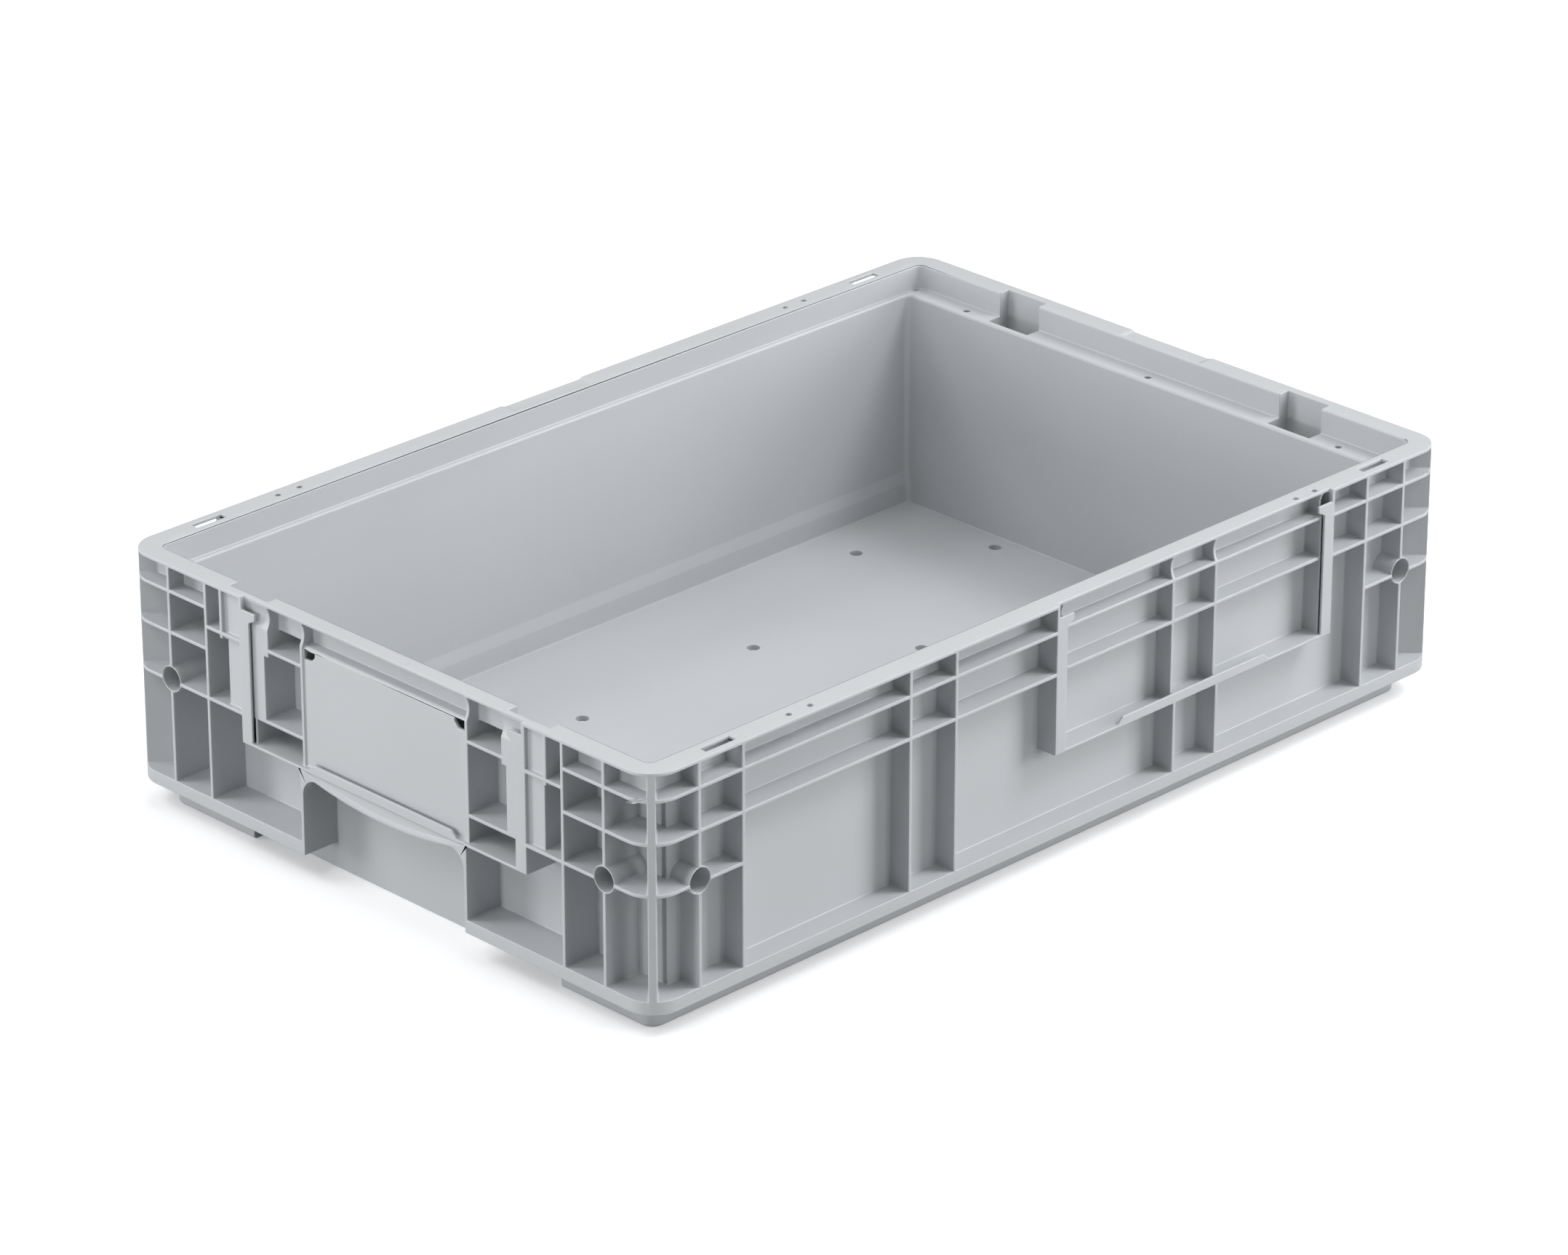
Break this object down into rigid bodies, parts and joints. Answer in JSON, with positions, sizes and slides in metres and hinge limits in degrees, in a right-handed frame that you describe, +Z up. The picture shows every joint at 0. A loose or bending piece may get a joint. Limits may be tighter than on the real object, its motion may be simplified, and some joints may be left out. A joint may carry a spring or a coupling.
{
  "type": "small load carrier box",
  "caption": "Open rectangular stackable plastic carrier with ribbed walls, hand grips, gripper pockets and card holders.",
  "frame": {"origin": "middle of the underside, on the surface the box stands on", "axes": "+X along the long sides, +Y across the box towards its plain long side, +Z up"},
  "size_m": [0.594, 0.396, 0.1475],
  "materials": {
    "shell": "moulded polypropylene, light grey, fine satin"
  },
  "bodies": {
    "root": {"carrier_box": "shell"}
  },
  "joints": []
}
